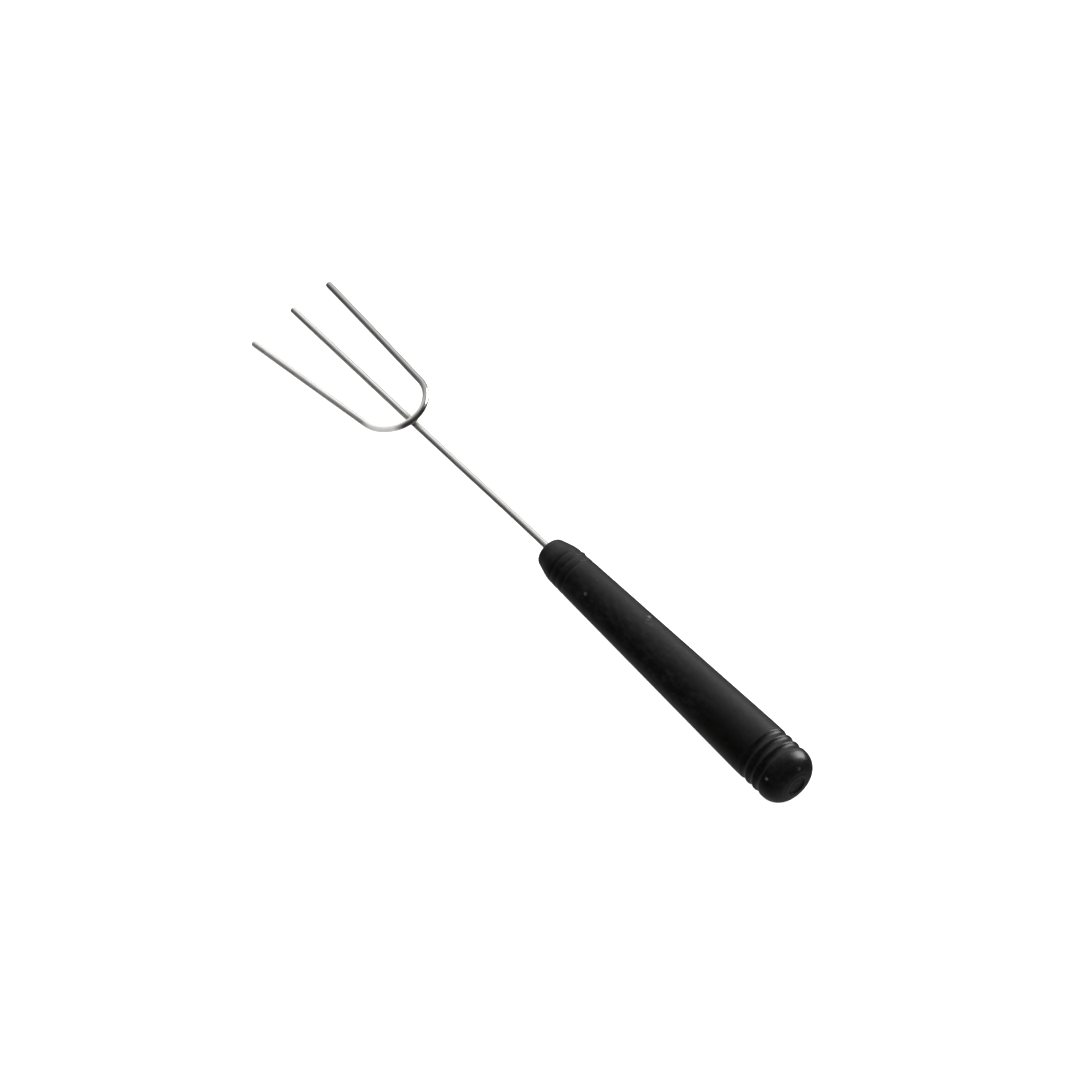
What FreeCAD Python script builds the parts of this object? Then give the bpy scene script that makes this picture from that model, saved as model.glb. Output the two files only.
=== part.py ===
import FreeCAD, Part

import math
import os
import re
import Sketcher

# Three-pronged dipping fork, as it comes to rest on a table. Millimetres.
# Origin: on the table, under the middle of the fork's overall box.
# +X runs from the prong tips to the butt of the handle, +Z is up, and the prongs
# are close to level. The handle is a slim cone, so it lies along its side with the
# nose lower than the butt. The tips of the two outer prongs reach down to the table,
# which keeps the round handle from rolling.
#
# Each piece is built in the tool's own frame, which the lie_ values then lay on the table:
# there X is the centre rod's axis and the origin is where the wires cross.

DIMENSIONS = {
    # steel wire, and where things stand along the tool from the crossing of the wires
    "wire_dia": 1.75,
    "centre_reach": 53.4,
    "outer_reach": 53.7,
    "shank_length": 56.5,
    "wire_end_round": 0.3,
    # the U of the outer prongs
    "bow_radius": 9.3,
    "prong_splay": 4.75,
    "fork_turn": 1.3,
    "set_down": 0.25,
    # the flattened end of the centre rod, buried in the handle
    "tang_depth": 46.0,
    "paddle_length": 10.0,
    "paddle_width": 2.8,
    "paddle_thickness": 0.9,
    # brazed fillet where the wires cross
    "braze_radius": 1.45,
    "braze_height": 1.1,
    # handle
    "handle_length": 94.3,
    "nose_radius": 3.95,
    "nose_cone": 5.3,
    "neck_radius": 5.4,
    "taper_end": 79.0,
    "butt_radius": 7.45,
    "nose_edge_round": 1.25,
    "neck_blend": 12.0,
    "butt_round": 4.6,
    "dish_radius": 2.3,
    "dish_slope": 0.25,
    "dish_depth": 0.35,
    # turned grooves: a fine set behind the nose, a deep set before the butt
    "fine_groove_start": 6.9,
    "fine_groove_pitch": 2.3,
    "fine_groove_radius": 1.6,
    "fine_groove_depth": 0.07,
    "deep_groove_start": 82.95,
    "deep_groove_pitch": 2.45,
    "deep_groove_radius": 1.3,
    "deep_groove_depth": 0.42,
}

# worked out in the sheet from the driving dimensions
DERIVED = {
    "wire_radius": "wire_dia / 2",
    "wire_spacing": "wire_dia - set_down",
    "rod_length": "centre_reach + shank_length + tang_depth - paddle_length",
    "leg_start_x": "-bow_radius * (1 - sin(prong_splay * 1deg))",
    "leg_start_y": "bow_radius * cos(prong_splay * 1deg)",
    "leg_length": "(outer_reach + leg_start_x) / cos(prong_splay * 1deg)",
    "taper_slope": "(butt_radius - neck_radius) / (taper_end - nose_cone)",
    "dish_rim": "dish_radius + dish_slope",
    "dish_floor": "handle_length - dish_depth",
    # the handle lies along its taper; the table is a tip_height below the axis at the tips
    "lie_pitch": "atan(taper_slope) / 1deg",
    "tip_height": "neck_radius - taper_slope * (nose_cone + shank_length + outer_reach)",
    "fork_dip": "atan((wire_spacing + tip_height - wire_radius) / outer_reach) / 1deg",
}

# where the crossing lies, set once the pieces have been measured
MEASURED = ["lie_x", "lie_y", "lie_z"]

GROOVES_PER_SET = 3

# the handle's radius at a place x along it, on the taper and past its end
RADIUS_AT = {
    "fine_groove": "neck_radius + taper_slope * ({x} - nose_cone)",
    "deep_groove": "butt_radius",
}

doc = FreeCAD.newDocument("dipping_fork")


def make_sheet():
    """The sheet of driving dimensions, each cell reached by its alias."""
    sheet = doc.addObject("Spreadsheet::Sheet", "dims")
    row = 1
    for name, value in DIMENSIONS.items():
        sheet.set(f"A{row}", name)
        sheet.set(f"B{row}", str(value))
        sheet.setAlias(f"B{row}", name)
        row += 1
    for name, formula in DERIVED.items():
        sheet.set(f"A{row}", name)
        sheet.set(f"B{row}", "=" + formula)
        sheet.setAlias(f"B{row}", name)
        row += 1
    for name in MEASURED:
        sheet.set(f"A{row}", name)
        sheet.set(f"B{row}", "0")
        sheet.setAlias(f"B{row}", name)
        row += 1
    doc.recompute()
    return sheet


sheet = make_sheet()


def size(name):
    """A dimension as a plain number."""
    value = getattr(sheet, name)
    return getattr(value, "Value", value)


def bind(thing, **formulas):
    """Bind properties to the sheet."""
    for prop, formula in formulas.items():
        thing.setExpression(prop, in_sheet(formula))


ALIASES = [*DIMENSIONS, *DERIVED, *MEASURED]


def in_sheet(formula):
    """Put the sheet's name before every alias in a formula."""
    return re.sub(r"\w+", lambda m: f"dims.{m[0]}" if m[0] in ALIASES else m[0], formula)


def placement(x, y, z, yaw, pitch):
    """The formula of a Placement: a position, then turns about Z and Y in degrees."""
    vector = f"create(<<vector>>; {x}; {y}; {z})"
    rotation = f"create(<<rotation>>; {yaw}; {pitch}; 0)"
    return in_sheet(f"create(<<placement>>; {vector}; {rotation})")


LYING = placement("lie_x", "lie_y", "lie_z", "0", "-lie_pitch")


def place(thing, x="0", z="0", yaw="0", pitch="0"):
    """Bind a Placement in the tool's own frame, which then lies on the table."""
    thing.setExpression("Placement", f"{LYING} * {placement(x, '0', z, yaw, pitch)}")


def new_body(name):
    return doc.addObject("PartDesign::Body", name)


def plane_of(body, role):
    """One of the body's own origin planes, by its role."""
    return next(f for f in body.Origin.OriginFeatures if f.Role == role)


def new_sketch(body, name, role):
    sketch = body.newObject("Sketcher::SketchObject", name)
    sketch.AttachmentSupport = [(plane_of(body, role), "")]
    sketch.MapMode = "FlatFace"
    return sketch


def constrain(sketch, kind, *args, name=None, formula=None):
    """Add a constraint, and bind its value to the sheet if it has one."""
    index = sketch.addConstraint(Sketcher.Constraint(kind, *args))
    if name:
        sketch.renameConstraint(index, name)
        sketch.setExpression(f"Constraints.{name}", in_sheet(formula))


# points of a sketch element, and the origin, as the Sketcher numbers them
START, END, CENTRE = 1, 2, 3
ORIGIN = (-1, 1)
X_LINE = -1


def point(x, y):
    return FreeCAD.Vector(x, y, 0)


def add_circle(sketch, radius, number=0):
    """A circle whose radius is a formula."""
    guess = point(1 + 3 * number, 1)
    ring = sketch.addGeometry(Part.Circle(guess, FreeCAD.Vector(0, 0, 1), 1))
    constrain(sketch, "Radius", ring, 1.0, name=f"ring{number}", formula=radius)
    return ring


def wire_sketch(body, name, role):
    """The wire's section, round the origin of an origin plane."""
    sketch = new_sketch(body, name, role)
    ring = add_circle(sketch, "wire_radius")
    constrain(sketch, "Coincident", ring, CENTRE, *ORIGIN)
    return sketch


def pad(body, name, sketch, length):
    feature = body.newObject("PartDesign::Pad", name)
    feature.Profile = sketch
    bind(feature, Length=length)
    return feature


def round_edges(body, name, base, chosen, radius):
    """Fillet the edges of a feature whose middle point answers to chosen."""
    doc.recompute()
    edges = []
    for number, edge in enumerate(base.Shape.Edges, 1):
        if edge.Length > 0 and chosen(edge):
            edges.append(f"Edge{number}")
    feature = body.newObject("PartDesign::Fillet", name)
    feature.Base = (base, edges)
    bind(feature, Radius=radius)
    return feature


def is_ring_at(x, radius):
    """Tests for a circular edge about the X axis at one place and of one radius."""

    def test(edge):
        curve = edge.Curve
        if not isinstance(curve, Part.Circle):
            return False
        return abs(curve.Center.x - x) < 0.01 and abs(curve.Radius - radius) < 0.01

    return test


def make_centre_rod():
    """One straight wire: the middle prong, the shank and the tang, with a paddle pressed at its end."""
    body = new_body("centre_rod")
    wire = wire_sketch(body, "rod_section", "YZ_Plane")
    rod = pad(body, "rod", wire, "rod_length")
    at_tip = is_ring_at(0, size("wire_radius"))
    round_edges(body, "tip_round", rod, at_tip, "wire_end_round")

    flat = new_sketch(body, "paddle_section", "YZ_Plane")
    half_width = size("paddle_width") / 2
    half_thickness = size("paddle_thickness") / 2
    corners = [
        point(-half_width, -half_thickness),
        point(half_width, -half_thickness),
        point(half_width, half_thickness),
        point(-half_width, half_thickness),
    ]
    for first, second in zip(corners, corners[1:] + corners[:1]):
        flat.addGeometry(Part.LineSegment(first, second))
    for side in range(4):
        constrain(flat, "Coincident", side, END, (side + 1) % 4, START)
        constrain(flat, "Horizontal" if side % 2 == 0 else "Vertical", side)
    constrain(flat, "Symmetric", 0, START, 2, START, *ORIGIN)
    constrain(flat, "DistanceX", 0, START, 0, END, 1.0, name="across", formula="paddle_width")
    constrain(flat, "DistanceY", 1, START, 1, END, 1.0, name="through", formula="paddle_thickness")
    flat.setExpression("AttachmentOffset.Base.z", in_sheet("rod_length"))
    paddle = pad(body, "paddle", flat, "paddle_length")
    body.Tip = paddle
    place(body, x="-centre_reach")
    return body


def make_bent_wire():
    """The outer prongs: one wire bent into a U whose legs spread towards the tips."""
    body = new_body("bent_wire")
    path = new_sketch(body, "half_path", "XY_Plane")
    radius = size("bow_radius")
    reach = size("outer_reach")
    leg_start = point(size("leg_start_x"), size("leg_start_y"))
    eighth = math.radians(45)
    half_way = point(radius * (math.cos(eighth) - 1), radius * math.sin(eighth))
    spread = size("leg_length") * math.sin(math.radians(size("prong_splay")))
    leg_end = point(-reach, size("leg_start_y") + spread)
    # the arc runs anticlockwise, so it starts at the middle of the bow
    bow = path.addGeometry(Part.Arc(point(0, 0), half_way, leg_start))
    leg = path.addGeometry(Part.LineSegment(leg_start, leg_end))
    constrain(path, "Coincident", bow, START, *ORIGIN)
    constrain(path, "PointOnObject", bow, CENTRE, X_LINE)
    constrain(path, "Tangent", bow, END, leg, START)
    constrain(path, "Radius", bow, 1.0, name="bow", formula="bow_radius")
    constrain(path, "DistanceX", leg, END, *ORIGIN, 1.0, name="reach", formula="outer_reach")
    constrain(path, "DistanceX", leg, START, *ORIGIN, 1.0, name="bend", formula="-leg_start_x")
    section = wire_sketch(body, "wire_section", "XZ_Plane")
    half = body.newObject("PartDesign::AdditivePipe", "half_wire")
    half.Profile = section
    half.Spine = (path, ["Edge1", "Edge2"])
    doc.recompute()

    def at_tip(edge):
        return edge.CenterOfMass.x < -reach + 1 and isinstance(edge.Curve, Part.Circle)

    tip = round_edges(body, "tip_round", half, at_tip, "wire_end_round")
    mirror = body.newObject("PartDesign::Mirrored", "other_half")
    mirror.Originals = [half, tip]
    mirror.MirrorPlane = (plane_of(body, "XZ_Plane"), [""])
    body.Tip = mirror
    place(body, z="wire_spacing", yaw="fork_turn", pitch="-fork_dip")
    return body


def make_outer_prongs(bent_wire, rod):
    """The bent wire, set down into the centre rod where the two are pressed together."""
    prongs = doc.addObject("Part::Cut", "outer_prongs")
    prongs.Base = bent_wire
    prongs.Tool = rod
    return prongs


def make_braze(rod, prongs):
    """The fillet of solder that runs round the crossing: a round blob less the two wires."""
    blob = doc.addObject("Part::Ellipsoid", "solder_blob")
    bind(blob, Radius1="braze_height", Radius2="braze_radius", Radius3="braze_radius")
    place(blob, z="wire_spacing / 2")
    wires = doc.addObject("Part::MultiFuse", "crossed_wires")
    wires.Shapes = [rod, prongs]
    braze = doc.addObject("Part::Cut", "braze_joint")
    braze.Base = blob
    braze.Tool = wires
    return braze


def make_handle_blank():
    """The moulded grip as a turned shape: coned nose, long taper, rounded butt with a shallow dish."""
    body = new_body("handle_blank")
    profile = new_sketch(body, "grip_profile", "XZ_Plane")
    # each corner: place along the axis, then radius; None is on the axis or at the nose
    corners = [
        (None, None),
        (None, "nose_radius"),
        ("nose_cone", "neck_radius"),
        ("taper_end", "butt_radius"),
        ("handle_length", "butt_radius"),
        ("handle_length", "dish_rim"),
        ("dish_floor", "dish_radius"),
        ("dish_floor", None),
    ]
    places = [point(along and size(along) or 0, out and size(out) or 0) for along, out in corners]
    for first, second in zip(places, places[1:] + places[:1]):
        profile.addGeometry(Part.LineSegment(first, second))
    count = len(corners)
    for side in range(count):
        constrain(profile, "Coincident", side, END, (side + 1) % count, START)
    constrain(profile, "Coincident", 0, START, *ORIGIN)
    for side, (along, out) in enumerate(corners):
        if along:
            value = dict(name=f"along{side}", formula=along)
            constrain(profile, "DistanceX", *ORIGIN, side, START, 1.0, **value)
        elif side:
            constrain(profile, "Vertical", side - 1)
        if out:
            value = dict(name=f"out{side}", formula=out)
            constrain(profile, "DistanceY", *ORIGIN, side, START, 1.0, **value)
        elif side:
            constrain(profile, "PointOnObject", side, START, X_LINE)
    grip = body.newObject("PartDesign::Revolution", "grip")
    grip.Profile = profile
    grip.ReferenceAxis = (profile, ["H_Axis"])
    grip.Angle = 360
    at_nose = is_ring_at(0, size("nose_radius"))
    at_neck = is_ring_at(size("nose_cone"), size("neck_radius"))
    at_butt = is_ring_at(size("handle_length"), size("butt_radius"))
    nose = round_edges(body, "nose_round", grip, at_nose, "nose_edge_round")
    neck = round_edges(body, "neck_round", nose, at_neck, "neck_blend")
    smooth = round_edges(body, "butt_round", neck, at_butt, "butt_round")
    add_grooves(body, "fine_groove")
    add_grooves(body, "deep_groove")
    place(body, x="shank_length")
    return body, smooth


def add_grooves(body, name):
    """A set of round-bottomed grooves turned about the handle's axis, one pitch apart."""
    section = new_sketch(body, f"{name}_section", "XZ_Plane")
    for number in range(GROOVES_PER_SET):
        ring = add_circle(section, f"{name}_radius", number)
        along = f"({name}_start + {number} * {name}_pitch)"
        seat = f"{RADIUS_AT[name].format(x=along)} + {name}_radius - {name}_depth"
        value = dict(name=f"along{number}", formula=along)
        constrain(section, "DistanceX", *ORIGIN, ring, CENTRE, 1.0, **value)
        value = dict(name=f"seat{number}", formula=seat)
        constrain(section, "DistanceY", *ORIGIN, ring, CENTRE, 1.0, **value)
    grooves = body.newObject("PartDesign::Groove", f"{name}s")
    grooves.Profile = section
    grooves.ReferenceAxis = (section, ["H_Axis"])
    grooves.Angle = 360
    body.Tip = grooves
    doc.recompute()


def make_handle(blank, rod):
    """The grip, moulded round the tang: the blank less the rod that it holds."""
    handle = doc.addObject("Part::Cut", "handle")
    handle.Base = blank
    handle.Tool = rod
    return handle


def lay_on_table(pieces):
    """Shift the tool so that its overall box stands on the origin."""
    boxes = [piece.Shape.optimalBoundingBox() for piece in pieces]
    middle_x = (min(box.XMin for box in boxes) + max(box.XMax for box in boxes)) / 2
    middle_y = (min(box.YMin for box in boxes) + max(box.YMax for box in boxes)) / 2
    lowest = min(box.ZMin for box in boxes)
    for name, value in zip(MEASURED, [-middle_x, -middle_y, -lowest]):
        sheet.set(name, f"{value:.4f}")
    doc.recompute()


def check_document():
    """Stop if any object failed."""
    for thing in doc.Objects:
        if "Invalid" in thing.State or "Error" in thing.State:
            raise RuntimeError(f"{thing.Name} failed: {thing.State}")


def check_piece(piece):
    """Stop unless a sub-part is one valid solid."""
    shape = piece.Shape
    if shape.isNull() or not shape.isValid() or len(shape.Solids) != 1:
        raise RuntimeError(f"{piece.Label}: not one valid solid")


def check_volumes(pairs):
    """Stop unless each cut took material away: a name, then the volumes before and after."""
    for name, before, after in pairs:
        if after >= before - 0.01:
            raise RuntimeError(f"{name} took nothing away")
        print(f"{name}: {before:.2f} mm3 before, {after:.2f} mm3 after")


rod = make_centre_rod()
bent_wire = make_bent_wire()
prongs = make_outer_prongs(bent_wire, rod)
braze = make_braze(rod, prongs)
blank, smooth = make_handle_blank()
handle = make_handle(blank, rod)
doc.recompute()
pieces = [rod, prongs, braze, handle]
lay_on_table(pieces)

check_document()
for piece in pieces:
    check_piece(piece)
check_volumes(
    [
        ("grooves", smooth.Shape.Volume, blank.Shape.Volume),
        ("tang cavity", blank.Shape.Volume, handle.Shape.Volume),
        ("set-down", bent_wire.Shape.Volume, prongs.Shape.Volume),
    ]
)

os.makedirs("parts", exist_ok=True)
for piece in pieces:
    piece.Shape.exportStep(f"parts/{piece.Label}.step")
    box = piece.Shape.optimalBoundingBox()
    print(
        f"{piece.Label}: {piece.Shape.Volume:.1f} mm3, "
        f"X {box.XMin:.3f}..{box.XMax:.3f}, Y {box.YMin:.3f}..{box.YMax:.3f}, "
        f"Z {box.ZMin:.3f}..{box.ZMax:.3f}"
    )
for name in ["fork_dip", "lie_pitch", *MEASURED]:
    print(f"{name}: {size(name):.4f}")
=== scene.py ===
import math

import bmesh
import bpy
from mathutils import Matrix, Vector, noise


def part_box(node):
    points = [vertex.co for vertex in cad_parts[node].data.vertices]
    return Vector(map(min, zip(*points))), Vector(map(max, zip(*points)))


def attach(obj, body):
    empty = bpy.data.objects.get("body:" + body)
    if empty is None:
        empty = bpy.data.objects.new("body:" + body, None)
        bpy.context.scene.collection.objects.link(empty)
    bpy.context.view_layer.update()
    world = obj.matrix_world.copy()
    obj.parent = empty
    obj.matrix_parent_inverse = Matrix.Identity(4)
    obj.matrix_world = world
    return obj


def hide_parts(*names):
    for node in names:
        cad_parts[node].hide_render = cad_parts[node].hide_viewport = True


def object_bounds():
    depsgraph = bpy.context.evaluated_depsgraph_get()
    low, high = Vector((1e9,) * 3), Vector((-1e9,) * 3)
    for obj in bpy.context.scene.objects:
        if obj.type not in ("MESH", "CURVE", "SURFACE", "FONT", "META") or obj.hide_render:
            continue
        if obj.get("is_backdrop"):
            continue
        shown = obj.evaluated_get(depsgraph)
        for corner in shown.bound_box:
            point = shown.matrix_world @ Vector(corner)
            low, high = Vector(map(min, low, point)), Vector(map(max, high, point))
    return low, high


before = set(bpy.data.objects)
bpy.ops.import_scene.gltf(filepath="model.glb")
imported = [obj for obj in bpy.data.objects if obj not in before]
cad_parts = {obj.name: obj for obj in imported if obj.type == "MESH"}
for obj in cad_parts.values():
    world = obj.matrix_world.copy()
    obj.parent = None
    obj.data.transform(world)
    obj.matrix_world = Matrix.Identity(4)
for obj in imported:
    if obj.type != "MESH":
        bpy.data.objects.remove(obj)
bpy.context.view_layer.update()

# ---------------------------------------------------------------------------
# Sizes, in millimetres, as the CAD has them. In the tool's own frame X runs
# along the centre rod to the butt and the origin is where the wires cross.
# ---------------------------------------------------------------------------
MM = 0.001

WIRE_RADIUS = 0.875
WIRE_END_ROUND = 0.3
CENTRE_REACH = 53.4
OUTER_REACH = 53.7
SHANK_LENGTH = 56.5
TANG_DEPTH = 46.0
PADDLE_LENGTH = 10.0
PADDLE_HALF_WIDTH = 1.4
PADDLE_HALF_THICKNESS = 0.45
WIRE_SPACING = 1.5
BOW_RADIUS = 9.3
PRONG_SPLAY = math.radians(4.75)
FORK_TURN = math.radians(1.3)

HANDLE_LENGTH = 94.3
NOSE_RADIUS = 3.95
NOSE_EDGE_ROUND = 1.25
NOSE_CONE = 5.3
NECK_RADIUS = 5.4
NECK_BLEND = 12.0
TAPER_END = 79.0
BUTT_RADIUS = 7.45
BUTT_ROUND = 4.6
DISH_RADIUS = 2.3
DISH_SLOPE = 0.25
DISH_DEPTH = 0.35
FINE_GROOVES = [6.9, 9.2, 11.5]
FINE_GROOVE_RADIUS = 1.6
FINE_GROOVE_DEPTH = 0.07
DEEP_GROOVES = [82.95, 85.4, 87.85]
DEEP_GROOVE_RADIUS = 1.3
DEEP_GROOVE_DEPTH = 0.42

TAPER_SLOPE = (BUTT_RADIUS - NECK_RADIUS) / (TAPER_END - NOSE_CONE)
LIE_PITCH = math.atan(TAPER_SLOPE)
TIP_HEIGHT = NECK_RADIUS - TAPER_SLOPE * (NOSE_CONE + SHANK_LENGTH + OUTER_REACH)
FORK_DIP = math.atan((WIRE_SPACING + TIP_HEIGHT - WIRE_RADIUS) / OUTER_REACH)


def tool_frame():
    """Where the tool's own frame lies: the handle's side touches the floor along its taper."""
    low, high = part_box("centre_rod")
    rod_middle = (SHANK_LENGTH + TANG_DEPTH - CENTRE_REACH) / 2 * MM
    cone_at_crossing = (NECK_RADIUS - TAPER_SLOPE * (NOSE_CONE + SHANK_LENGTH)) * MM
    x = (low.x + high.x) / 2 - rod_middle * math.cos(LIE_PITCH)
    y = (low.y + high.y) / 2
    z = cone_at_crossing * math.cos(LIE_PITCH)
    return Matrix.Translation((x, y, z)) @ Matrix.Rotation(-LIE_PITCH, 4, "Y")


TOOL = tool_frame()
HANDLE = TOOL @ Matrix.Translation((SHANK_LENGTH * MM, 0, 0))
BOW = (
    TOOL
    @ Matrix.Translation((0, 0, WIRE_SPACING * MM))
    @ Matrix.Rotation(FORK_TURN, 4, "Z")
    @ Matrix.Rotation(-FORK_DIP, 4, "Y")
)


# ---------------------------------------------------------------------------
# Mesh helpers
# ---------------------------------------------------------------------------
def new_piece(name, points, faces, place, attributes=None):
    """A smooth mesh piece from points in millimetres of its own frame, which it remembers as own."""
    mesh = bpy.data.meshes.new(name)
    own = [Vector(p) * MM for p in points]
    mesh.from_pydata([place @ p for p in own], [], faces)
    for key, values in {"own": own, **(attributes or {})}.items():
        if isinstance(values[0], (int, float)):
            layer = mesh.attributes.new(key, "FLOAT", "POINT")
            layer.data.foreach_set("value", values)
        else:
            layer = mesh.attributes.new(key, "FLOAT_VECTOR", "POINT")
            layer.data.foreach_set("vector", [c for v in values for c in v])
    mesh.polygons.foreach_set("use_smooth", [True] * len(mesh.polygons))
    mesh.validate()
    mesh.update()
    piece = bpy.data.objects.new(name, mesh)
    bpy.context.scene.collection.objects.link(piece)
    return piece


def finish_piece(piece, node, material):
    piece.data.materials.append(material)
    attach(piece, "root")
    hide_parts(node)


def skin_rings(rings):
    """Points and faces of a skin over rings of equal count, each end closed on a point."""
    count = len(rings[0])
    points = [p for ring in rings for p in ring]
    faces = []
    for i in range(len(rings) - 1):
        for j in range(count):
            k = (j + 1) % count
            a, b = i * count, (i + 1) * count
            faces.append((a + j, a + k, b + k, b + j))
    for ring, first in ((rings[0], 0), (rings[-1], (len(rings) - 1) * count)):
        middle = sum((Vector(p) for p in ring), Vector()) / count
        points.append(tuple(middle))
        tip = len(points) - 1
        for j in range(count):
            k = (j + 1) % count
            face = (first + k, first + j, tip) if first == 0 else (first + j, first + k, tip)
            faces.append(face)
    return points, faces


def smooth_min(a, b, k):
    """The smaller of two lengths, with the corner between them rounded over k."""
    h = max(k - abs(a - b), 0) / k
    return min(a, b) - h * h * k / 4


def wobble(x, y, z, scale, seed=0.0):
    """Smooth noise from -1 to 1."""
    return noise.noise(Vector((x * scale + seed, y * scale - seed, z * scale + 2 * seed)))


def bell(x, middle, width):
    return math.exp(-(((x - middle) / width) ** 2))


# ---------------------------------------------------------------------------
# Handle: a turned profile with grooves, a bore for the tang and a dished butt
# ---------------------------------------------------------------------------
HANDLE_SEGMENTS = 224
BORE_RADIUS = 0.91
BORE_END = 46.3
BORE_ROWS = 8
SLOT_START = 35.7
SLOT_RADIUS = 1.5
TAPER_END_BLEND = 60.0
FINE_SOFTEN = 0.09
DEEP_SOFTEN = 0.20
DISH_EDGE = 2.85
RING_RADIUS = 3.8
RING_WIDTH = 0.3
RING_DEPTH = 0.07
MOULDING_WAVE = 0.012
BURR_ANGLE = math.radians(14)
BURR_PLACE = 7.75
BURR_HEIGHT = 0.22
BURR_LENGTH = 0.22
BURR_SPREAD = 0.16


def rounded(corners, steps=14):
    """A path through (along, out, round) corners, each turned on an arc of that radius."""
    path = []
    for i, (x, r, radius) in enumerate(corners):
        here = Vector((x, r))
        if radius == 0 or i in (0, len(corners) - 1):
            path.append(here)
            continue
        back = Vector(corners[i - 1][:2]) - here
        ahead = Vector(corners[i + 1][:2]) - here
        opening = back.angle(ahead)
        reach = radius / math.tan(opening / 2)
        start = here + back.normalized() * reach
        end = here + ahead.normalized() * reach
        inward = (back.normalized() + ahead.normalized()).normalized()
        centre = here + inward * radius / math.sin(opening / 2)
        for s in range(steps + 1):
            turn = s / steps
            spoke = (start - centre).lerp(end - centre, turn)
            path.append(centre + spoke.normalized() * radius)
    return path


def finely(path, longest=0.12):
    """The same path with more points, none further apart than longest."""
    fine = [path[0]]
    for a, b in zip(path, path[1:]):
        count = max(1, math.ceil((b - a).length / longest))
        fine += [a.lerp(b, (i + 1) / count) for i in range(count)]
    return fine


def outline_radius(outline, x):
    """Radius of the turned outline at a place along it."""
    for a, b in zip(outline, outline[1:]):
        if a.x <= x <= b.x and b.x > a.x:
            return a.y + (b.y - a.y) * (x - a.x) / (b.x - a.x)
    return outline[-1].y


def groove_radius(x, base, middle, radius, depth, soften):
    """The surface over one groove, with its edges rounded off."""
    off = abs(x - middle)
    seat = base + radius - depth
    if off < radius:
        cut = seat - math.sqrt(radius * radius - off * off)
    else:
        cut = seat + (off - radius)
    return smooth_min(base, cut, soften)


def step_along(x):
    """How far on the next ring is: short steps in the grooves, long ones on the plain taper."""
    if min(abs(x - g) for g in DEEP_GROOVES) < 1.5:
        return 0.055
    if min(abs(x - g) for g in FINE_GROOVES) < 1.3:
        return 0.08
    return 0.5


def wear_along(x):
    """How much the grip is rubbed there: most on the ridges beside the grooves."""
    on_deep = max([bell(x, g + side, 0.5) for g in DEEP_GROOVES for side in (-1.1, 1.1)])
    on_fine = max(bell(x, g + side, 0.3) for g in FINE_GROOVES for side in (-0.7, 0.7))
    return max(on_deep, 0.6 * on_fine)


def handle_profile():
    """(along, out, worn) from the bottom of the bore, over the outside, to the middle of the dish."""
    bore = [(BORE_END, 0.0), (BORE_END, SLOT_RADIUS), (SLOT_START, SLOT_RADIUS)]
    bore += [(x, BORE_RADIUS) for x in (SLOT_START, 20.0, 8.0, 1.2)]
    bore.append((0.35, 0.92))
    profile = [(x, r, 0.0) for x, r in bore]
    mouth = rounded([(0.5, 0.92, 0), (0.0, 1.15, 0.25), (0.0, NOSE_RADIUS, 0)], 5)
    profile += [(p.x, p.y, 0.2) for p in mouth[1:-1]]
    profile += [(0.0, r, 0.2) for r in (1.8, 2.4, 2.8)]
    outline = rounded(
        [
            (0.0, 1.0, 0),
            (0.0, NOSE_RADIUS, NOSE_EDGE_ROUND),
            (NOSE_CONE, NECK_RADIUS, NECK_BLEND),
            (TAPER_END, BUTT_RADIUS, TAPER_END_BLEND),
            (HANDLE_LENGTH, BUTT_RADIUS, BUTT_ROUND),
            (HANDLE_LENGTH, DISH_RADIUS + DISH_SLOPE, 0),
        ],
        24,
    )
    face_end = next(i for i, p in enumerate(outline) if p.x > 1e-4) - 1
    nose_end = next(i for i, p in enumerate(outline) if p.y > NOSE_RADIUS + 0.28)
    profile += [(p.x, p.y, 0.5) for p in outline[face_end:nose_end]]
    butt_start = HANDLE_LENGTH - BUTT_ROUND
    x = outline[nose_end - 1].x
    while x < butt_start - 0.3:
        x += step_along(x)
        radius = outline_radius(outline, x)
        base = radius
        for middle in FINE_GROOVES:
            cut = groove_radius(x, base, middle, FINE_GROOVE_RADIUS, FINE_GROOVE_DEPTH, FINE_SOFTEN)
            radius = min(radius, cut)
        for middle in DEEP_GROOVES:
            cut = groove_radius(x, base, middle, DEEP_GROOVE_RADIUS, DEEP_GROOVE_DEPTH, DEEP_SOFTEN)
            radius = min(radius, cut)
        profile.append((x, radius, wear_along(x)))
    tail = [p for p in finely(outline) if p.x > x + 0.02 and p.y > DISH_EDGE]
    for p in tail[:-1]:
        sunk = RING_DEPTH * bell(p.y, RING_RADIUS, RING_WIDTH)
        profile.append((p.x - sunk, p.y, bell(p.y, 7.0, 0.8)))
    dish = rounded(
        [
            (HANDLE_LENGTH, DISH_EDGE, 0),
            (HANDLE_LENGTH, DISH_RADIUS + DISH_SLOPE, 0.16),
            (HANDLE_LENGTH - DISH_DEPTH, DISH_RADIUS, 0.14),
            (HANDLE_LENGTH - DISH_DEPTH, 1.2, 0),
        ],
        6,
    )
    profile += [(p.x, p.y, 0.6 if i < 8 else 0.0) for i, p in enumerate(dish[1:])]
    bottom = HANDLE_LENGTH - DISH_DEPTH
    profile += [(bottom + 0.06, 1.0, 0.0), (bottom + 0.07, 0.8, 0.2)]
    profile += [(bottom, 0.62, 0.0), (bottom - 0.03, 0.25, 0.0)]
    return profile


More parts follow.
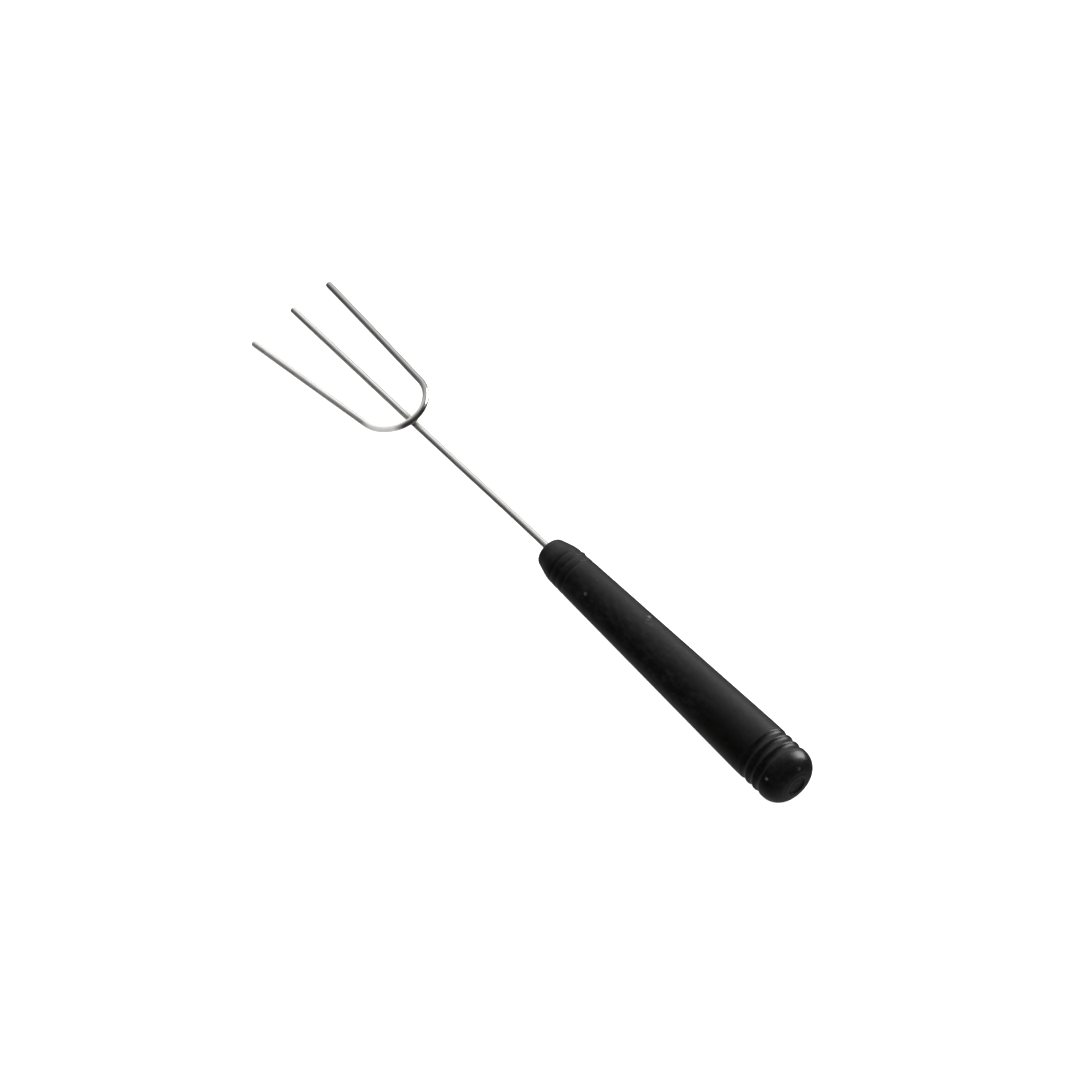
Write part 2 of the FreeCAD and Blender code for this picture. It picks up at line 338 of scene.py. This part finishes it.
def build_handle():
    """The grip's skin. Outside the bore it waves a little and has a burr at the first groove."""
    rings, worn = [], []
    for i, (x, radius, wear) in enumerate(handle_profile()):
        if radius == 0:
            continue
        ring = []
        inside = i < BORE_ROWS
        for j in range(HANDLE_SEGMENTS):
            angle = 2 * math.pi * j / HANDLE_SEGMENTS
            c, s = math.cos(angle), math.sin(angle)
            r = radius
            if not inside:
                r += MOULDING_WAVE * wobble(x, 6 * c, 6 * s, 0.12, 3.1) * min(radius / 4, 1)
                turn = (angle - BURR_ANGLE + math.pi) % (2 * math.pi) - math.pi
                burr = BURR_HEIGHT * bell(turn, 0, BURR_SPREAD) * bell(x, BURR_PLACE, BURR_LENGTH)
                r += burr * (radius > NOSE_RADIUS + 0.05)
            ring.append((x, r * c, r * s))
            worn.append(wear)
        rings.append(ring)
    points, faces = skin_rings(rings)
    worn += [0.0, 0.0]
    return new_piece("moulded_grip", points, faces, HANDLE, {"worn": worn})


# ---------------------------------------------------------------------------
# Wires: round rods swept along a line, with blunt rounded ends
# ---------------------------------------------------------------------------
WIRE_SEGMENTS = 56
END_ZONE = 0.8
ROD_STEP = 0.6
LEG_STEP = 0.7
BOW_STEPS = 48
LEG_BEND = 0.05
ROD_OFF_AT_NOSE = 0.42
ROD_OFF_AT_TIP = 0.30
ROD_OFF_AT_CROSSING = 0.12
PRESS_GAP = 0.005


def sweep_wire(line, radii, flat=None):
    """Rings round a line of points. Each gets a radius, or a half width and half thickness."""
    rings, lay = [], []
    run = 0.0
    for i, here in enumerate(line):
        before = line[max(i - 1, 0)]
        after = line[min(i + 1, len(line) - 1)]
        run += (here - before).length
        ahead = (after - before).normalized()
        side = ahead.cross(Vector((0, 0, 1))).normalized()
        up = side.cross(ahead)
        ring = []
        for j in range(WIRE_SEGMENTS):
            angle = 2 * math.pi * j / WIRE_SEGMENTS
            c, s = math.cos(angle), math.sin(angle)
            wide = high = radii[i]
            if flat and flat[i] > 0:
                squeeze = flat[i]
                square = (abs(c) ** 6 + abs(s) ** 6) ** (-1 / 6)
                wide = radii[i] * (1 - squeeze) + PADDLE_HALF_WIDTH * squeeze * square
                high = radii[i] * (1 - squeeze) + PADDLE_HALF_THICKNESS * squeeze * square
            rough = 1 + 0.004 * wobble(run, 3 * c, 3 * s, 0.35, 8.7)
            ring.append(tuple(here + side * (wide * c * rough) + up * (high * s * rough)))
            lay.append((run, WIRE_RADIUS * c, WIRE_RADIUS * s))
        rings.append(ring)
    points, faces = skin_rings(rings)
    lay += [(0.0, 0.0, 0.0), (run, 0.0, 0.0)]
    return points, faces, [tuple(v * MM for v in row) for row in lay]


def blunt_end(step_count=7):
    """(distance in from the end face, radius) over the rounded edge of a cropped wire."""
    rows = [(0.0, 0.25), (0.0, 0.45)]
    for i in range(step_count + 1):
        turn = math.pi / 2 * i / step_count
        rows.append(
            (
                WIRE_END_ROUND * (1 - math.sin(turn)),
                WIRE_RADIUS - WIRE_END_ROUND + WIRE_END_ROUND * math.cos(turn),
            )
        )
    return rows[:2] + sorted(rows[2:])


def centre_line(x):
    """The rod's own line: very slightly off straight, as a hand-set wire is."""
    nose = bell(x, SHANK_LENGTH, 34) * ROD_OFF_AT_NOSE
    tip = -ROD_OFF_AT_TIP * max(-x, 0) / CENTRE_REACH - ROD_OFF_AT_CROSSING
    blend = 1 / (1 + math.exp(-(x - 8) / 6))
    return tip * (1 - blend) + nose * blend


def build_rod():
    stations = [(-CENTRE_REACH + inset, radius) for inset, radius in blunt_end()]
    x = -CENTRE_REACH + END_ZONE
    end = SHANK_LENGTH + TANG_DEPTH
    while x < end - END_ZONE:
        stations.append((x, WIRE_RADIUS))
        x += ROD_STEP
    stations += [(end - inset, radius) for inset, radius in reversed(blunt_end())]
    line, radii, flat = [], [], []
    for x, radius in stations:
        in_handle = max(0.0, min(1.0, (x - SHANK_LENGTH - 0.5) / 12))
        y = centre_line(x) * (1 - in_handle)
        line.append(Vector((x, y, 0.0)))
        radii.append(radius)
        flat.append(max(0.0, min(1.0, (x - (end - PADDLE_LENGTH)) / 1.2)))
    points, faces, lay = sweep_wire(line, radii, flat)
    return new_piece("centre_wire", points, faces, TOOL, {"lay": lay})


def bow_line():
    """Half of the U from the crossing to a tip, then its mirror: an arc and a straight leg."""
    spread = math.pi / 2 - PRONG_SPLAY
    leg_start = Vector(
        (-BOW_RADIUS * (1 - math.sin(PRONG_SPLAY)), BOW_RADIUS * math.cos(PRONG_SPLAY), 0)
    )
    ahead = Vector((-math.cos(PRONG_SPLAY), math.sin(PRONG_SPLAY), 0))
    leg = (OUTER_REACH + leg_start.x) / math.cos(PRONG_SPLAY)
    half = []
    for i in range(BOW_STEPS):
        turn = spread * i / BOW_STEPS
        here = Vector((BOW_RADIUS * (math.cos(turn) - 1), BOW_RADIUS * math.sin(turn), 0))
        half.append((here, WIRE_RADIUS))
    run = 0.0
    while run < leg - END_ZONE:
        bend = LEG_BEND * math.sin(math.pi * run / leg)
        half.append((leg_start + ahead * run + Vector((0, bend, 0)), WIRE_RADIUS))
        run += LEG_STEP
    for inset, radius in reversed(blunt_end()):
        half.append((leg_start + ahead * (leg - inset), radius))
    return half


def build_bow():
    half = bow_line()
    other = [(Vector((p.x, -p.y, p.z)), r) for p, r in reversed(half[1:])]
    whole = other + half
    line = [p for p, _ in whole]
    radii = [r for _, r in whole]
    points, faces, lay = sweep_wire(line, radii)
    # the underside of the bow is pressed down on to the centre rod
    to_tool = TOOL.inverted() @ BOW
    pressed = []
    for p in points:
        q = to_tool @ (Vector(p) * MM) / MM
        off = Vector((0, q.y - centre_line(q.x), q.z))
        if off.length < WIRE_RADIUS + PRESS_GAP and abs(q.x) < 4:
            off = off.normalized() * (WIRE_RADIUS + PRESS_GAP)
            q = Vector((q.x, centre_line(q.x) + off.y, off.z))
            p = tuple(to_tool.inverted() @ (q * MM) / MM)
        pressed.append(p)
    return new_piece("bow_wire", pressed, faces, BOW, {"lay": lay})


# ---------------------------------------------------------------------------
# Solder: a skin drawn over both wires where they cross
# ---------------------------------------------------------------------------
SOLDER_MIDDLE = Vector((0.1, 0.0, WIRE_SPACING / 2))
SOLDER_REACH = 1.7
SOLDER_STRETCH = 1.15
CORNER_BLEND = 1.1
EDGE_BLEND = 0.5


def solder_depth(p):
    """Below zero inside the solder: both wires grown together, faded out away from the crossing."""
    to_bow = BOW.inverted() @ TOOL
    q = to_bow @ (p * MM) / MM
    on_bow = math.hypot(math.hypot(q.x + BOW_RADIUS, q.y) - BOW_RADIUS, q.z)
    on_rod = math.hypot(p.y - centre_line(p.x), p.z)
    coat = 0.04 * wobble(p.x, p.y, p.z, 1.3, 4.4) - 0.02
    joined = smooth_min(on_bow, on_rod, CORNER_BLEND) - WIRE_RADIUS - coat
    off = p - SOLDER_MIDDLE
    limit = math.sqrt(off.x**2 + off.y**2 + (off.z / SOLDER_STRETCH) ** 2) - SOLDER_REACH
    limit -= 0.25 * wobble(p.x, p.y, p.z, 0.8, 1.7)
    return -smooth_min(-joined, -limit, EDGE_BLEND)


def build_solder():
    """Every direction from the middle meets the skin once, so a ball of rays finds it."""
    ball = bmesh.new()
    bmesh.ops.create_icosphere(ball, subdivisions=6, radius=1.0)
    for vert in ball.verts:
        ray = vert.co.normalized()
        near, far = 0.2, 4.0
        for _ in range(26):
            half = (near + far) / 2
            if solder_depth(SOLDER_MIDDLE + ray * half) < 0:
                near = half
            else:
                far = half
        vert.co = SOLDER_MIDDLE + ray * near
    bmesh.ops.smooth_vert(
        ball, verts=ball.verts, factor=0.3, use_axis_x=True, use_axis_y=True, use_axis_z=True
    )
    points = [tuple(v.co) for v in ball.verts]
    faces = [tuple(v.index for v in f.verts) for f in ball.faces]
    ball.free()
    return new_piece("solder_fillet", points, faces, TOOL)


# ---------------------------------------------------------------------------
# Materials
# ---------------------------------------------------------------------------
class Looks:
    """A node material, with short calls for the few kinds of node that it needs."""

    def __init__(self, name):
        self.material = bpy.data.materials.new(name)
        self.material.use_nodes = True
        self.tree = self.material.node_tree
        self.tree.nodes.clear()
        output = self.tree.nodes.new("ShaderNodeOutputMaterial")
        self.shader = self.tree.nodes.new("ShaderNodeBsdfPrincipled")
        self.join(self.shader.outputs["BSDF"], output.inputs["Surface"])

    def join(self, source, target):
        self.tree.links.new(source, target)

    def put(self, value, socket):
        """Link a socket's value, or set it if it is a plain one."""
        if isinstance(value, bpy.types.NodeSocket):
            self.join(value, socket)
        else:
            socket.default_value = value

    def attribute(self, name, kind="Fac"):
        node = self.tree.nodes.new("ShaderNodeAttribute")
        node.attribute_name = name
        return node.outputs[kind]

    def scaled(self, vector, scale, turn=(0, 0, 0)):
        node = self.tree.nodes.new("ShaderNodeMapping")
        self.join(vector, node.inputs["Vector"])
        node.inputs["Scale"].default_value = scale
        node.inputs["Rotation"].default_value = turn
        return node.outputs["Vector"]

    def noise(self, vector, scale, detail=3.0, rough=0.5):
        node = self.tree.nodes.new("ShaderNodeTexNoise")
        self.join(vector, node.inputs["Vector"])
        node.inputs["Scale"].default_value = scale
        node.inputs["Detail"].default_value = detail
        node.inputs["Roughness"].default_value = rough
        return node.outputs["Fac"]

    def cells(self, vector, scale):
        """Distance to the nearest of scattered points, and that point's own random value."""
        node = self.tree.nodes.new("ShaderNodeTexVoronoi")
        self.join(vector, node.inputs["Vector"])
        node.inputs["Scale"].default_value = scale
        chance = self.tree.nodes.new("ShaderNodeSeparateColor")
        self.join(node.outputs["Color"], chance.inputs["Color"])
        return node.outputs["Distance"], chance.outputs["Red"]

    def spread(self, value, low, high, to_low=0.0, to_high=1.0):
        node = self.tree.nodes.new("ShaderNodeMapRange")
        node.clamp = True
        self.join(value, node.inputs["Value"])
        node.inputs["From Min"].default_value = low
        node.inputs["From Max"].default_value = high
        node.inputs["To Min"].default_value = to_low
        node.inputs["To Max"].default_value = to_high
        return node.outputs["Result"]

    def math(self, operation, a, b=0.0):
        node = self.tree.nodes.new("ShaderNodeMath")
        node.operation = operation
        self.put(a, node.inputs[0])
        self.put(b, node.inputs[1])
        return node.outputs["Value"]

    def sideways(self, vector):
        """How far a point lies along Y."""
        node = self.tree.nodes.new("ShaderNodeSeparateXYZ")
        self.join(vector, node.inputs[0])
        return node.outputs["Y"]

    def distance(self, vector, point):
        node = self.tree.nodes.new("ShaderNodeVectorMath")
        node.operation = "DISTANCE"
        self.join(vector, node.inputs[0])
        node.inputs[1].default_value = point
        return node.outputs["Value"]

    def blend(self, amount, first, second):
        node = self.tree.nodes.new("ShaderNodeMix")
        node.data_type = "RGBA"
        self.put(amount, node.inputs["Factor"])
        self.put(first, node.inputs[6])
        self.put(second, node.inputs[7])
        return node.outputs[2]

    def bump(self, height, strength, distance, below=None):
        node = self.tree.nodes.new("ShaderNodeBump")
        node.inputs["Strength"].default_value = strength
        node.inputs["Distance"].default_value = distance
        self.join(height, node.inputs["Height"])
        if below:
            self.join(below, node.inputs["Normal"])
        return node.outputs["Normal"]


def grey(value, warm=0.0):
    return (value * (1 + warm), value, value * (1 - warm), 1.0)


PLASTIC_DARK = (0.0007, 0.0007, 0.0005, 1)
PLASTIC_PALE = (0.0013, 0.0012, 0.0010, 1)
STEEL_DARK = (0.82, 0.81, 0.79, 1)
STEEL_PALE = (0.94, 0.93, 0.91, 1)

# marks on the grip: place along it in mm, angle round it in degrees, radius in mm, how pale
GRIP_MARKS = [
    (19.3, 120.7, 0.60, 0.35),
    (35.7, 49.0, 0.60, 1.3),
    (36.5, 60.0, 0.32, 0.5),
    (37.1, 70.0, 0.28, 0.3),
    (38.1, 65.0, 0.90, 0.12),
    (90.3, 135.0, 0.50, 0.6),
    (93.6, 66.0, 0.60, 0.25),
    (12.9, 78.0, 0.20, 0.2),
]
# small dents and pimples: the same, then how far each stands out
GRIP_DENTS = [(31.2, 113.4, 0.75, -1.0), (32.4, 87.4, 0.40, 0.6), (19.0, 78.0, 0.40, 0.6)]


def on_grip(along, angle):
    """A point on the grip's skin, in metres of its own frame."""
    out = NECK_RADIUS + TAPER_SLOPE * (min(along, TAPER_END) - NOSE_CONE)
    past = along - (HANDLE_LENGTH - BUTT_ROUND)
    if past > 0:
        out = BUTT_RADIUS - BUTT_ROUND + math.sqrt(BUTT_ROUND**2 - past**2)
    turn = math.radians(angle)
    return along * MM, out * math.cos(turn) * MM, out * math.sin(turn) * MM


def grip_plastic():
    """Satin black moulded plastic: turned marks round it, mottling, dust, scuffs and rubbed ridges."""
    looks = Looks("satin_black_plastic")
    place = looks.attribute("own", "Vector")
    rings = looks.noise(looks.scaled(place, (5200, 90, 90)), 1.0, 2.0)
    clouds = looks.noise(place, 130, 4.0, 0.6)
    pores = looks.noise(place, 3600, 2.0)
    swell = looks.noise(looks.scaled(place, (90, 260, 260)), 1.0, 2.0)
    ripple = looks.noise(looks.scaled(place, (420, 620, 620)), 1.0, 3.0)
    rubbed = looks.math("MULTIPLY", looks.attribute("worn"), looks.spread(clouds, 0.35, 0.62))

    away, chance = looks.cells(place, 330)
    dust = looks.math(
        "MULTIPLY", looks.spread(away, 0.055, 0.03), looks.spread(chance, 0.955, 0.965)
    )
    scratch = looks.noise(looks.scaled(place, (260, 5200, 5200), (0, 0.5, 0.35)), 1.0, 1.0)
    patch = looks.noise(place, 65, 2.0)
    scuff = looks.math("MULTIPLY", looks.spread(scratch, 0.70, 0.78), looks.spread(patch, 0.56, 0.66))
    marks = dust
    ragged = looks.math("MULTIPLY", looks.noise(place, 2600, 2.0), 0.0004)
    for along, angle, radius, pale in GRIP_MARKS:
        away = looks.math("ADD", looks.distance(place, on_grip(along, angle)), ragged)
        edge = looks.spread(away, (radius + 0.2) * MM, (radius * 0.4 + 0.2) * MM, 0.0, pale)
        marks = looks.math("MAXIMUM", marks, edge)
    dents = None
    for along, angle, radius, rise in GRIP_DENTS:
        away = looks.distance(place, on_grip(along, angle))
        dent = looks.spread(away, radius * MM, radius * 0.3 * MM, 0.0, rise)
        dents = dent if dents is None else looks.math("ADD", dents, dent)

    body = looks.blend(looks.spread(clouds, 0.3, 0.7), PLASTIC_DARK, PLASTIC_PALE)
    mottle = looks.noise(looks.scaled(place, (520, 900, 900), (0.0, 0.35, 0.5)), 1.0, 4.0, 0.65)
    in_patches = looks.spread(patch, 0.35, 0.6, 0.25, 1.0)
    mottle = looks.math("MULTIPLY", looks.spread(mottle, 0.46, 0.68), in_patches)
    body = looks.blend(looks.math("MULTIPLY", mottle, 0.7), body, grey(0.010, 0.03))
    body = looks.blend(looks.math("MULTIPLY", rubbed, 0.5), body, grey(0.006))
    body = looks.blend(looks.math("MULTIPLY", scuff, 0.25), body, grey(0.03))
    body = looks.blend(looks.math("MULTIPLY", marks, 0.7), body, grey(0.14, 0.02))
    looks.join(body, looks.shader.inputs["Base Color"])

    rough = looks.spread(clouds, 0.25, 0.75, 0.38, 0.47)
    rough = looks.math("ADD", rough, looks.spread(rings, 0.3, 0.7, -0.04, 0.05))
    rough = looks.math("SUBTRACT", rough, looks.math("MULTIPLY", rubbed, 0.17))
    rough = looks.math("ADD", rough, looks.math("MULTIPLY", marks, 0.3))
    looks.join(rough, looks.shader.inputs["Roughness"])

    normal = looks.bump(swell, 0.35, 0.00012)
    normal = looks.bump(ripple, 0.75, 0.00005, normal)
    normal = looks.bump(rings, 0.30, 0.000012, normal)
    normal = looks.bump(pores, 0.25, 0.000010, normal)
    normal = looks.bump(marks, 0.6, 0.00005, normal)
    normal = looks.bump(dents, 0.8, 0.00006, normal)
    looks.join(normal, looks.shader.inputs["Normal"])
    looks.shader.inputs["Specular IOR Level"].default_value = 0.36
    looks.shader.inputs["IOR"].default_value = 1.5
    return looks.material


# Painted reflection: the middle of the pale patch painted on one corner of the bow, in the bow's own
# frame.
PAINTED_REFLECTION_CORNER = (-3.5 * MM, -8.0 * MM, 0.0)


def bow_painted_reflections_and_stain(looks, place, metal, near):
    """Painted light on the bow: a painted pale reflection on one corner and a fainter one on the near
    leg, a painted darker reflection on the far leg, and burnt stain beside the joint.
    """
    side = looks.sideways(place)
    # Painted reflection: one corner, and faintly the near leg, are painted pale and made less metallic
    # and rougher, in place of a bright reflection.
    painted_reflection = looks.spread(looks.distance(place, PAINTED_REFLECTION_CORNER), 0.0074, 0.0030, 0.0, 0.60)
    painted_reflection = looks.math("MAXIMUM", painted_reflection, looks.spread(side, 0.004, -0.007, 0.0, 0.14))
    # Painted shade: the far leg's colour is darkened to paint a darker reflection on it.
    metal = looks.blend(looks.spread(side, 0.003, 0.008, 0.0, 0.42), metal, (0.10, 0.10, 0.10, 1))
    metal = looks.blend(painted_reflection, metal, (0.80, 0.79, 0.79, 1))
    outer = looks.spread(looks.distance(place, (-BOW_RADIUS * MM, 0.0, 0.0)), 0.0094, 0.0100)
    burnt = looks.math("MULTIPLY", outer, looks.spread(near, 0.0056, 0.0036))
    metal = looks.blend(looks.math("MULTIPLY", burnt, 0.85), metal, (0.05, 0.045, 0.04, 1))
    looks.join(looks.math("SUBTRACT", 1.0, painted_reflection), looks.shader.inputs["Metallic"])
    return metal, painted_reflection


def wire_steel(name, crossing, is_bow=False):
    """Bright drawn steel: fine lines along the wire, faint handling marks, heat stain at the joint."""
    looks = Looks(name)
    looks.shader.inputs["Metallic"].default_value = 0.97
    place = looks.attribute("own", "Vector")
    lay = looks.attribute("lay", "Vector")
    drawn = looks.noise(looks.scaled(lay, (45, 5200, 5200)), 1.0, 3.0)
    dull = looks.noise(looks.scaled(lay, (160, 700, 700)), 1.0, 3.0)
    nicks = looks.noise(looks.scaled(lay, (2600, 900, 900)), 1.0, 2.0)
    nick = looks.spread(nicks, 0.70, 0.78)
    near = looks.distance(place, crossing)
    uneven = looks.noise(place, 900, 3.0)
    heat = looks.spread(near, 0.0042, 0.0014)
    heat = looks.math("MULTIPLY", heat, looks.spread(uneven, 0.25, 0.6, 0.45, 1.0))

    metal = looks.blend(looks.spread(drawn, 0.3, 0.7), STEEL_DARK, STEEL_PALE)
    dulled = looks.math("MULTIPLY", looks.spread(dull, 0.5, 0.8), 0.35)
    metal = looks.blend(dulled, metal, (0.62, 0.60, 0.58, 1))
    metal = looks.blend(looks.math("MULTIPLY", nick, 0.5), metal, (0.30, 0.29, 0.28, 1))
    metal = looks.blend(looks.math("MULTIPLY", heat, 0.40), metal, (0.30, 0.26, 0.21, 1))
    rough = looks.spread(drawn, 0.3, 0.7, 0.17, 0.27)
    if is_bow:
        # The bow adds painted reflections: pale on one corner and the near leg, darker on the far leg.
        metal, painted_reflection = bow_painted_reflections_and_stain(looks, place, metal, near)
        rough = looks.math("ADD", rough, looks.math("MULTIPLY", painted_reflection, 0.3))
    looks.join(metal, looks.shader.inputs["Base Color"])

    rough = looks.math("ADD", rough, looks.spread(dull, 0.4, 0.8, 0.0, 0.12))
    rough = looks.math("ADD", rough, looks.math("MULTIPLY", heat, 0.22))
    looks.join(rough, looks.shader.inputs["Roughness"])

    normal = looks.bump(drawn, 0.35, 0.000010)
    normal = looks.bump(nick, 0.4, 0.000015, normal)
    looks.join(normal, looks.shader.inputs["Normal"])
    return looks.material


def solder_metal():
    """Dull silver solder with burnt flux in its hollows."""
    looks = Looks("dull_solder")
    place = looks.attribute("own", "Vector")
    lumps = looks.noise(place, 1500, 4.0, 0.6)
    grain = looks.noise(place, 9000, 2.0)
    burnt = looks.spread(lumps, 0.42, 0.62)
    metal = looks.blend(burnt, (0.52, 0.50, 0.46, 1), (0.14, 0.12, 0.10, 1))
    looks.join(metal, looks.shader.inputs["Base Color"])
    rough = looks.spread(lumps, 0.3, 0.7, 0.38, 0.62)
    looks.join(rough, looks.shader.inputs["Roughness"])
    normal = looks.bump(lumps, 0.5, 0.00008)
    normal = looks.bump(grain, 0.4, 0.000012, normal)
    looks.join(normal, looks.shader.inputs["Normal"])
    looks.shader.inputs["Metallic"].default_value = 0.9
    return looks.material


def floor_paper():
    """Plain white paper with a trace of mottling, lit a little from behind as on a light table."""
    looks = Looks("white_paper")
    place = looks.tree.nodes.new("ShaderNodeTexCoord").outputs["Object"]
    fibre = looks.noise(place, 900, 3.0)
    cloud = looks.noise(place, 6, 2.0)
    tone = looks.blend(looks.spread(cloud, 0.3, 0.7), grey(0.90), grey(0.92))
    looks.join(tone, looks.shader.inputs["Base Color"])
    looks.join(looks.spread(fibre, 0.3, 0.7, 0.85, 0.95), looks.shader.inputs["Roughness"])
    looks.join(looks.bump(fibre, 0.15, 0.00002), looks.shader.inputs["Normal"])
    looks.shader.inputs["Specular IOR Level"].default_value = 0.1
    looks.shader.inputs["Emission Color"].default_value = (1.0, 1.0, 1.0, 1.0)
    looks.shader.inputs["Emission Strength"].default_value = 0.85
    return looks.material


# ---------------------------------------------------------------------------
# Build the tool
# ---------------------------------------------------------------------------
crossing_in_tool = (0.0, 0.0, WIRE_SPACING / 2 * MM)
crossing_in_bow = (0.0, 0.0, -WIRE_SPACING / 2 * MM)

grip = build_handle()
finish_piece(grip, "handle", grip_plastic())
rod = build_rod()
finish_piece(rod, "centre_rod", wire_steel("drawn_steel_rod", crossing_in_tool))
bow = build_bow()
bow_steel = wire_steel("drawn_steel_bow", crossing_in_bow, is_bow=True)
finish_piece(bow, "outer_prongs", bow_steel)
solder = build_solder()
finish_piece(solder, "braze_joint", solder_metal())


# ---------------------------------------------------------------------------
# Stage: floor, light, camera
# ---------------------------------------------------------------------------
FLOOR_LINES = [-6.0, -2.0, -0.6, -0.2, 0.2, 0.6, 2.0, 6.0]


def build_floor():
    """A wide sheet of paper, finely divided in the middle."""
    points = [(x, y, 0.0) for y in FLOOR_LINES for x in FLOOR_LINES]
    count = len(FLOOR_LINES)
    faces = []
    for j in range(count - 1):
        for i in range(count - 1):
            a = j * count + i
            faces.append((a, a + 1, a + count + 1, a + count))
    mesh = bpy.data.meshes.new("floor")
    mesh.from_pydata(points, [], faces)
    floor = bpy.data.objects.new("floor", mesh)
    bpy.context.scene.collection.objects.link(floor)
    mesh.materials.append(floor_paper())
    floor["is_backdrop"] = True
    return floor


def softbox(name, place, wide, high, power, shines=True):
    """A soft rectangular lamp turned to the middle of the tool. Without shines it isn't reflected."""
    light = bpy.data.lights.new(name, "AREA")
    light.shape = "RECTANGLE"
    light.size = wide
    light.size_y = high
    light.energy = power
    lamp = bpy.data.objects.new(name, light)
    bpy.context.scene.collection.objects.link(lamp)
    lamp.location = place
    lamp.rotation_euler = (-Vector(place)).to_track_quat("-Z", "Y").to_euler()
    lamp.visible_camera = False
    lamp.visible_glossy = shines
    return lamp


floor = build_floor()
floor.visible_glossy = False

softbox("side_softbox", (0.05, 1.07, 0.12), 0.58, 0.75, 13.4)
softbox("overhead_fill", (0.2, -0.1, 1.7), 2.6, 2.6, 40.0, shines=False)

GLOW_TOWARD = (-0.80, 0.55, 0.25)
GLOW_CONTRAST = 3.6
GLOW_LEVEL = 0.035
GLOW_LEVEL_BELOW = 0.005


def build_world():
    """A dim room that grows brighter smoothly to one side, with a little light below and ahead."""
    world = bpy.data.worlds.new("studio")
    world.use_nodes = True
    bpy.context.scene.world = world
    tree = world.node_tree
    background = tree.nodes["Background"]
    background.inputs["Color"].default_value = (1.0, 1.0, 1.0, 1.0)
    way = tree.nodes.new("ShaderNodeTexCoord").outputs["Generated"]
    toward = tree.nodes.new("ShaderNodeVectorMath")
    toward.operation = "DOT_PRODUCT"
    tree.links.new(way, toward.inputs[0])
    toward.inputs[1].default_value = GLOW_TOWARD
    split = tree.nodes.new("ShaderNodeSeparateXYZ")
    tree.links.new(way, split.inputs[0])

    def step(operation, first, second):
        node = tree.nodes.new("ShaderNodeMath")
        node.operation = operation
        for socket, value in zip(node.inputs, (first, second)):
            if isinstance(value, float):
                socket.default_value = value
            else:
                tree.links.new(value, socket)
        return node.outputs["Value"]

    def spread(source, low, high, to_low, to_high):
        node = tree.nodes.new("ShaderNodeMapRange")
        node.clamp = True
        tree.links.new(source, node.inputs["Value"])
        node.inputs["From Min"].default_value = low
        node.inputs["From Max"].default_value = high
        node.inputs["To Min"].default_value = to_low
        node.inputs["To Max"].default_value = to_high
        return node.outputs["Result"]

    level = spread(split.outputs["Z"], -0.40, -0.12, GLOW_LEVEL_BELOW, GLOW_LEVEL)
    glow = step("EXPONENT", step("MULTIPLY", toward.outputs["Value"], GLOW_CONTRAST), 0.0)
    glow = step("MULTIPLY", glow, level)
    below = spread(split.outputs["Z"], -0.05, -0.80, 0.0, 1.0)
    below = step("MULTIPLY", below, spread(split.outputs["X"], -0.5, -0.9, 0.28, 0.6))
    below = step("MULTIPLY", below, spread(split.outputs["Y"], 0.2, 0.7, 1.0, 0.3))
    ahead = spread(split.outputs["X"], 0.35, 0.65, 0.0, 0.08)
    total = step("ADD", step("ADD", glow, below), ahead)
    tree.links.new(total, background.inputs["Strength"])


build_world()

VIEW_AZIMUTH = math.radians(66.131)
VIEW_ELEVATION = math.radians(57.045)
VIEW_ROLL = math.radians(18.210)
VIEW_DISTANCE = 0.88466
VIEW_LENS = 116.67
SENSOR_WIDTH = 36.0
AIM_RIGHT = 0.002654
AIM_UP = 0.001381


def build_camera():
    """The camera looks at the middle of the tool's footprint, turned a little about its own axis."""
    low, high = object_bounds()
    back = Vector(
        (
            math.sin(VIEW_AZIMUTH) * math.cos(VIEW_ELEVATION),
            -math.cos(VIEW_AZIMUTH) * math.cos(VIEW_ELEVATION),
            math.sin(VIEW_ELEVATION),
        )
    )
    level_up = (Vector((0, 0, 1)) - back * back.z).normalized()
    level_right = level_up.cross(back)
    up = level_up * math.cos(VIEW_ROLL) + level_right * math.sin(VIEW_ROLL)
    right = up.cross(back)
    target = Vector(((low[0] + high[0]) / 2, (low[1] + high[1]) / 2, 0.0))
    target += right * AIM_RIGHT + up * AIM_UP
    turn = Matrix((right, up, back)).transposed().to_4x4()
    lens = bpy.data.cameras.new("camera")
    lens.lens = VIEW_LENS
    lens.sensor_width = SENSOR_WIDTH
    lens.clip_start = 0.01
    lens.clip_end = 50.0
    camera = bpy.data.objects.new("camera", lens)
    bpy.context.scene.collection.objects.link(camera)
    camera.matrix_world = Matrix.Translation(target + back * VIEW_DISTANCE) @ turn
    bpy.context.scene.camera = camera


build_camera()
bpy.context.scene.view_settings.view_transform = "Standard"
